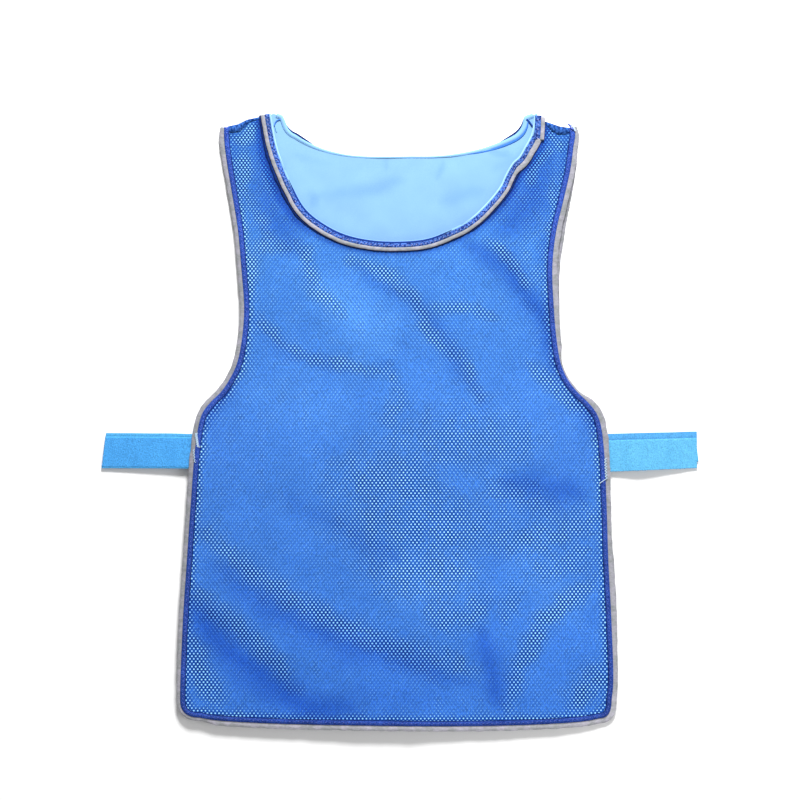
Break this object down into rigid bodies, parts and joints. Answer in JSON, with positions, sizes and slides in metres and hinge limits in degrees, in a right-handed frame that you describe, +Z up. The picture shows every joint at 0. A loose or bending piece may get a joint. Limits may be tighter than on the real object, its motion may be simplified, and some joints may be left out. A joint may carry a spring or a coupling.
{
  "type": "cooling vest",
  "caption": "Pull-over cooling vest laid flat: net front and back panels over light linings, piped edges, a bound scoop neck and a short fastening strap at each side.",
  "frame": {"origin": "on the floor, under the middle of the vest as it lies on its back panel", "axes": "+X to the right of the picture, +Y from the hem to the neck, +Z up from the floor through the panels"},
  "size_m": [0.5966, 0.6186, 0.0146],
  "materials": {
    "net": "soft warp-knitted net with small staggered holes",
    "lining": "smooth light lining",
    "piping": "flat grey woven tape",
    "band": "turned and topstitched edge of the net",
    "strap": "loop-pile fastening tape with smooth selvedges"
  },
  "bodies": {
    "root": {"back_net": "net", "back_lining": "lining", "back_piping": "piping", "back_neck_roll": "lining", "front_lining": "lining", "front_piping": "piping", "front_net": "net", "neck_band": "band", "neck_piping": "piping", "left_strap": "strap", "right_strap": "strap"}
  },
  "joints": []
}
